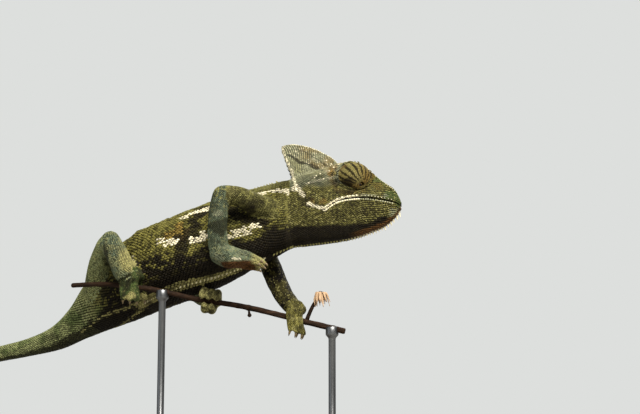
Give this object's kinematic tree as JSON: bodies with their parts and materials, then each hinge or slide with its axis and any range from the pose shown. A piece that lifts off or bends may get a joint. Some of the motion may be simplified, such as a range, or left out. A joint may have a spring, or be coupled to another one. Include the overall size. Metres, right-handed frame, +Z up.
{
  "type": "veiled chameleon model on display stand",
  "caption": "Life-size veiled chameleon with a tall casque and a coiled tail, gripping a cut twig that a plain display stand holds up.",
  "frame": {"origin": "middle of the underside of the stand's base", "axes": "+X toward the snout, +Y to the animal's left side, +Z up"},
  "size_m": [0.2203, 0.08, 0.1538],
  "materials": {
    "skin": "matte scaled skin, olive green with cream and dark brown markings",
    "eye": "wet dark eye",
    "twig": "dry twig with thin grey-brown bark",
    "stand_wood": "dark stained, satin",
    "stand_metal": "matte dark grey"
  },
  "bodies": {
    "root": {"head": "skin", "casque": "skin", "eye_turret_l": "skin", "eyeball_l": "eye", "eye_turret_r": "skin", "eyeball_r": "eye", "lower_jaw": "skin", "neck": "skin", "torso": "skin", "tail_1": "skin", "tail_2": "skin", "tail_3": "skin", "tail_4": "skin", "tail_5": "skin", "perch_twig": "twig", "upper_arm_r": "skin", "forearm_r": "skin", "hand_r": "skin", "upper_arm_l": "skin", "forearm_l": "skin", "hand_l": "skin", "thigh_r": "skin", "shank_r": "skin", "foot_r": "skin", "thigh_l": "skin", "shank_l": "skin", "foot_l": "skin", "stand_base": "stand_wood", "stand_rod_rear": "stand_metal", "stand_rod_front": "stand_metal"}
  },
  "joints": []
}
